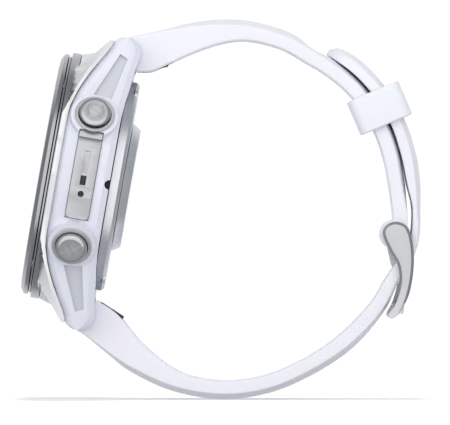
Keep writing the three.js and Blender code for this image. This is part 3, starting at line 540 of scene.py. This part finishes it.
def long_strap():
    base = grid_mesh("strap_long", strap_points(LONG_HALF, 6, tip=0.07))
    parts = root_parts(-1, LONG_HALF) + hole_cutters(LONG_HALF)
    parts.append(("DIFFERENCE", tongue_slot()))
    mesh = combined(base, parts)
    return piece("look_strap_long", mesh, STRAP_SILICONE, "watch", "strap_long")


def rounded_rectangle(half_x, half_y, radius, steps=8):
    """Points and outward normals round a rectangle whose corners are quarter circles."""
    points, normals = [], []
    for k, (sx, sy) in enumerate([(1, 1), (-1, 1), (-1, -1), (1, -1)]):
        turn = np.linspace(k, k + 1, steps) * math.pi / 2
        normal = np.stack([np.cos(turn), np.sin(turn)], axis=1)
        points.append([sx * (half_x - radius), sy * (half_y - radius)] + radius * normal)
        normals.append(normal)
    return np.vstack(points), np.vstack(normals)


def keeper_loop():
    """A rounded rectangular section carried round a rounded rectangular loop,
    which sits a little askew on the strap."""
    angle, tilt, length, wall = 32, -9, 6.1, 1.0
    room_under, room_beside, tail_crown, room_over = 0.9, 0.35, 0.85, 0.7
    low = INNER - room_under - wall / 2
    high = TAIL_OUTER + tail_crown + room_over + wall / 2
    half_width = STRAP_HALF + room_beside + wall / 2
    turn = math.radians(angle + tilt)
    loop_corner, edge_corner = 1.1, 0.38
    loop, outward = rounded_rectangle((high - low) / 2, half_width, loop_corner, 10)
    section, _ = rounded_rectangle(wall / 2, length / 2, edge_corner, 6)
    out, along = section[:, 0], section[:, 1]
    radial = Vector((math.cos(turn), 0, math.sin(turn)))
    tangent = Vector((-math.sin(turn), 0, math.cos(turn)))
    x, z = on_arc(angle, (low + high) / 2)
    middle = Vector((x, 0, z))
    reach = loop[:, :1] + outward[:, :1] * out
    aside = loop[:, 1:] + outward[:, 1:] * out
    points = (
        np.array(middle)
        + reach[..., None] * np.array(radial)
        + aside[..., None] * np.array((0, 1, 0))
        + along[None, :, None] * np.array(tangent)
    )
    closed = np.vstack([points, points[:1]])
    mesh = grid_mesh("keeper_loop", closed * MM, cap_v=False)
    face_outward(mesh, weld=0.001)
    return piece("look_keeper_loop", mesh, STRAP_SILICONE, "keeper_loop", "keeper_loop")


short_strap()
long_strap()
keeper_loop()


# ---------------------------------------------------------------- hard pieces

# A lug pocket's corners in the watch frame: y from the middle, z out of the display.
CASE_RADIUS, LUG_REACH, LUG_CORNER = 21.6, 26.0, 13.7
POCKET = [(14.2, -2.3), (14.5, 0.8), (21.9, -2.4), (21.3, -3.8)]
POCKET_LEAST_DEPTH = 0.4


def in_pocket(point, normal):
    """True on the flat floor of a lug's side pocket."""
    away = point - CENTRE
    y, z = abs(away.dot(TWELVE)), away.dot(FACE_OUT)
    if abs(normal.y) < 0.6:
        return False
    turns = [
        (b[0] - a[0]) * (z - a[1]) - (b[1] - a[1]) * (y - a[0])
        for a, b in zip(POCKET, POCKET[1:] + POCKET[:1])
    ]
    slant = math.atan2(LUG_REACH, LUG_CORNER) - math.acos(
        CASE_RADIUS / math.hypot(LUG_CORNER, LUG_REACH)
    )
    depth = CASE_RADIUS - abs(point.y) * math.cos(slant) - y * math.sin(slant)
    return all(t < 0 for t in turns) and depth > POCKET_LEAST_DEPTH


# Each button's angle round the case, from 3 o'clock towards 12 o'clock.
BUTTONS = {"start": 29, "back": -29, "light": 151, "up": 180, "down": 209}
CAP_RADIUS, CAP_TOP, CAP_FLOOR, STEM_RADIUS, STEM_END = 2.65, 24.4, 22.5, 0.9, 17.6
CAP_SIDE_END, AXIS_GAP = 0.5, 0.02
RIDGES, RIDGE_HALF_DEPTH, RING_DEPTH = 48, 0.07, 0.09
TURN_STEPS = 288


def button_cap(name, angle):
    """A profile of radius over height turned round the button's axis. The start cap's side is
    ridged, as a cosine of the angle round it, and a plain ring is sunk into its face."""
    ridged = name == "start"
    side = CAP_TOP - CAP_SIDE_END
    profile = [
        (AXIS_GAP, STEM_END), (STEM_RADIUS, STEM_END), (STEM_RADIUS, CAP_FLOOR),
        (CAP_RADIUS - 0.08, CAP_FLOOR), (CAP_RADIUS, CAP_FLOOR + 0.08),
        *[(CAP_RADIUS, h) for h in np.linspace(CAP_FLOOR + 0.2, side - 0.05, 6)],
        (CAP_RADIUS, side), (2.57, side + 0.2), (2.4, side + 0.36), (2.2, side + 0.44),
        (2.05, CAP_TOP), (2.0, CAP_TOP), (1.9, CAP_TOP),
    ]
    if ridged:
        sunk = CAP_TOP - RING_DEPTH
        profile += [(1.5, CAP_TOP), (1.43, sunk), (1.22, sunk), (1.15, CAP_TOP), (1.08, CAP_TOP)]
    profile += [(0.4, CAP_TOP), (AXIS_GAP, CAP_TOP)]
    radius, height = np.array(profile).T
    turn = np.linspace(0, 2 * math.pi, TURN_STEPS, endpoint=False)
    ripple = np.zeros((len(radius), TURN_STEPS))
    if ridged:
        on_side = (height > CAP_FLOOR + 0.15) & (height < side) & (radius > 2.5)
        ripple[on_side] = RIDGE_HALF_DEPTH * (np.cos(RIDGES * turn) - 1)
    spread = radius[:, None] + ripple
    a = math.radians(angle)
    axis = THREE_O_CLOCK * math.cos(a) + TWELVE * math.sin(a)
    aside = TWELVE * math.cos(a) - THREE_O_CLOCK * math.sin(a)
    points = (
        np.array(CENTRE)
        + height[:, None, None] * np.array(axis)
        + (spread * np.cos(turn))[..., None] * np.array(aside)
        + (spread * np.sin(turn))[..., None] * np.array(FACE_OUT)
    )
    node = name + "_button"
    mesh = grid_mesh(node, points * MM)
    return piece("look_" + node, mesh, BUTTON_STEEL, BODY_OF[node], node)


def hole_shade_disc():
    """A dark disc at the bottom of the sensor plate's round hole: painted shade standing in for the
    hole's depth.
    """
    y, face, thickness, hole_radius = -2.3, 21.45, 0.1, 0.49
    back = face - thickness
    turn = np.linspace(0, 2 * math.pi, 32, endpoint=False)
    rings = []
    for x, radius in (
        (back, AXIS_GAP), (back, hole_radius), (face, hole_radius), (face, AXIS_GAP)
    ):
        rings.append([watch_point(x, y + radius * math.cos(a), radius * math.sin(a)) for a in turn])
    mesh = grid_mesh("hole_shade_disc", np.array(rings) * MM)
    return piece("look_microphone_hole", mesh, DARK_RESIN, "watch", slot=SLOT_OF["sensor_port"])


# The arm's side outline, from the pin's eye round by the outside to the tip and back.
ARM = [
    (27, 27.8), (27.6, 29.3), (29.1, 29.9), (30.7, 29.4), (31.6, 28), (32.1, 25.5), (32.2, 23),
    (31.9, 20), (31.2, 17.2), (29.7, 14.5), (28.5, 13.7), (27.8, 14.3), (28.8, 16.2),
    (29.6, 18.8), (29.8, 20.8), (29.4, 22.9), (28.2, 25),
]
ARM_INSIDE, ARM_OUTSIDE = 10.25, 11.85
CROSSBAR, CROSSBAR_RADIUS, FRAME_PIN_BORE = (29.35, 15.2), 0.9, 0.85


def even_outline(corners, count=120):
    """A closed Catmull-Rom curve through the corners, at even steps along it."""
    p = np.array(corners, float)
    a, b, c, d = (np.roll(p, k, axis=0)[:, None] for k in (1, 0, -1, -2))
    t = np.linspace(0, 1, 24, endpoint=False)[None, :, None]
    curve = catmull_rom(a, b, c, d, t).reshape(-1, 2)
    closed = np.vstack([curve, curve[:1]])
    walk = np.concatenate([[0], np.cumsum(np.linalg.norm(np.diff(closed, axis=0), axis=1))])
    at = np.linspace(0, walk[-1], count, endpoint=False)
    return np.stack([np.interp(at, walk, closed[:, k]) for k in (0, 1)], axis=1)


def buckle_arm(side):
    """The arm's outline carried across its thickness, set in by its inward normal times
    1 - sqrt(1 - s^2) towards each face and less towards the thin tip."""
    rim = even_outline(ARM)
    along = np.roll(rim, -2, axis=0) - np.roll(rim, 2, axis=0)
    along /= np.linalg.norm(along, axis=1)[:, None]
    inward = np.stack([along[:, 1], -along[:, 0]], axis=1)
    middle = rim.mean(axis=0)
    if np.sum(inward * (middle - rim)) < 0:
        inward = -inward
    share = np.clip((rim[:, 1] - 13.4) / 4.5, 0.2, 1)[:, None]
    rows = []
    for y, inset in ((ARM_INSIDE, 0.3), (ARM_INSIDE + 0.25, 0.02), (ARM_OUTSIDE - 0.45, 0.0),
                     (ARM_OUTSIDE - 0.05, 0.42), (ARM_OUTSIDE, 0.52)):
        ring = rim + inward * inset * share
        rows.append(np.stack([ring[:, 0], np.full(len(ring), side * y), ring[:, 1]], axis=1))
    return grid_mesh("arm", np.array(rows) * MM)


def buckle_frame():
    """Two arms on a crossbar, with a notch in the crossbar for the tongue's end."""
    arms = [("UNION", buckle_arm(side)) for side in (-1, 1)]
    x, z = CROSSBAR
    notch = [(x + 0.25, z - 2), (x + 3.25, z - 2), (x + 3.25, z + 2), (x + 0.25, z + 2)]
    cuts = [
        ("DIFFERENCE", round_bar(PIN, FRAME_PIN_BORE, ARM_OUTSIDE - 0.35)),
        ("DIFFERENCE", across_block(notch, SLOT_HALF)),
    ]
    mesh = combined(round_bar(CROSSBAR, CROSSBAR_RADIUS, ARM_OUTSIDE - 0.3), arms + cuts)
    return piece("look_buckle_frame", mesh, BUCKLE_STEEL, BODY_OF["buckle_frame"], "buckle_frame")


for node in ("front_bezel", "bezel_base_ring"):
    dressed(node, BEZEL_STEEL, 0.12)
for node in ("front_guard_right", "front_guard_left"):
    dressed(node, GUARD_STEEL, 0.12)
# The mid case's pocket floors are painted darker: painted shade in the recess.
recessed(dressed("mid_case", CASE_RESIN, 0.22), POCKET_PAINTED_SHADE, in_pocket)
dressed("sensor_guard_plate", PLATE_STEEL, 0.1)
dressed("caseback", BACK_STEEL, 0.15)
dressed("bezel_channel_ring", BEZEL_STEEL, 0.05)
dressed("sensor_port", DARK_RESIN, 0.05)
dressed("sensor_housing", BACK_STEEL, 0.12)
dressed("display_glass", DISPLAY_GLASS, 0.12)
dressed("sensor_window", DISPLAY_GLASS, 0.1)
for name, angle in BUTTONS.items():
    button_cap(name, angle)
    dressed(name + "_collar", BUTTON_STEEL, 0.1)
for angle in (65, 115, 245, 295):
    dressed(f"caseback_screw_{angle}", BACK_STEEL, 0.1)
# A dark disc painted as the shade deep in the sensor plate's round hole.
hole_shade_disc()
for name in ("charge_contact_right", "charge_contact_left"):
    dressed(name, CONTACT_BRASS, 0.08)
for name in ("latch_top", "latch_bottom"):
    dressed(name, DARK_RESIN, 0.15)
buckle_frame()
dressed("buckle_tongue", BUCKLE_STEEL, 0.12)
dressed("buckle_pin", BUCKLE_STEEL, 0.1)
for name in ("lug_bar_top", "lug_bar_bottom"):
    dressed(name, BUCKLE_STEEL, 0.1)

# What the case hides keeps its CAD solid and gets a finish of its own.
HIDDEN = {
    "display_module": DARK_RESIN,
    "main_board": BOARD_MASK,
    "sensor_board": BOARD_MASK,
    "battery": BATTERY_CAN,
    "vibration_motor": BACK_STEEL,
    "speaker": DARK_RESIN,
    "antenna_ring": CONTACT_BRASS,
    "caseback_gasket": SEAL_RUBBER,
    **{name + "_switch": SEAL_RUBBER for name in BUTTONS},
}
for node, material in HIDDEN.items():
    mesh = frame["nodes"][node].data
    mesh.materials.clear()
    mesh.materials.append(material)


# ---------------------------------------------------------------- floor, light and camera

VIEW_WIDTH, VIEW_X, VIEW_Z = 75.89, 0.51, 31.45
LENS, SENSOR = 1000.0, 36.0
SOFT_BOX, AIM = (2000, 2000), (0, 0, 32)


def emitter(name, place, aim, size, power):
    light = bpy.data.lights.new(name, "AREA")
    light.shape = "RECTANGLE"
    light.size, light.size_y = size[0] * MM, size[1] * MM
    light.energy = power
    lamp = in_scene(name, light)
    lamp.location = Vector(place) * MM
    lamp.rotation_euler = (Vector(aim) - Vector(place)).to_track_quat("-Z", "Y").to_euler()
    lamp.visible_camera = False
    return lamp


def studio():
    """Pale light from all round, a white backdrop behind the object, and two large soft lamps."""
    world = bpy.data.worlds.new("studio")
    bpy.context.scene.world = world
    world.use_nodes = True
    nodes, links = world.node_tree.nodes, world.node_tree.links
    sky = nodes["Background"]
    sky.inputs["Color"].default_value = (0.92, 0.94, 1.0, 1)
    sky.inputs["Strength"].default_value = 0.46
    backdrop = nodes.new("ShaderNodeBackground")
    backdrop.inputs["Color"].default_value = (1, 1, 1, 1)
    backdrop.inputs["Strength"].default_value = 1.05
    mix = nodes.new("ShaderNodeMixShader")
    ray = nodes.new("ShaderNodeLightPath")
    links.new(ray.outputs["Is Camera Ray"], mix.inputs["Fac"])
    links.new(sky.outputs[0], mix.inputs[1])
    links.new(backdrop.outputs[0], mix.inputs[2])
    links.new(mix.outputs[0], nodes["World Output"].inputs["Surface"])
    emitter("front", (-80, -700, 90), AIM, SOFT_BOX, 14.0)
    emitter("behind", (120, 700, 160), AIM, SOFT_BOX, 7.5)


def floor():
    """A pale sheet that takes the contact shadow of a small lamp above, which lights only it."""
    half, back = 300 * MM, 60 * MM
    mesh = bpy.data.meshes.new("floor")
    corners = [(-half, -half, 0), (half, -half, 0), (half, back, 0), (-half, back, 0)]
    mesh.from_pydata(corners, [], [(0, 1, 2, 3)])
    paper = Finish("pale_paper", (0.95, 0.95, 0.95), 0.9, Emission_Strength=0.12)
    paper.shader.inputs["Emission Color"].default_value = (1, 1, 1, 1)
    paper.shader.inputs["Specular IOR Level"].default_value = 0.0
    mesh.materials.append(paper.material)
    sheet = in_scene("floor", mesh)
    sheet.visible_diffuse = sheet.visible_glossy = False
    lit = bpy.data.collections.new("lit_from_above")
    lit.objects.link(sheet)
    above = emitter("above_floor", (0, 0, 500), (0, 0, 0), (90, 90), 0.9)
    above.light_linking.receiver_collection = lit


def camera():
    made = bpy.data.cameras.new("camera")
    made.lens, made.sensor_width = LENS, SENSOR
    made.clip_start, made.clip_end = 0.1, 20
    distance = VIEW_WIDTH / SENSOR * LENS
    eye = in_scene("camera", made)
    eye.location = Vector((VIEW_X, -distance, VIEW_Z)) * MM
    eye.rotation_euler = (math.pi / 2, 0, 0)
    bpy.context.scene.camera = eye


studio()
floor()
camera()
bpy.context.scene.view_settings.view_transform = "Standard"
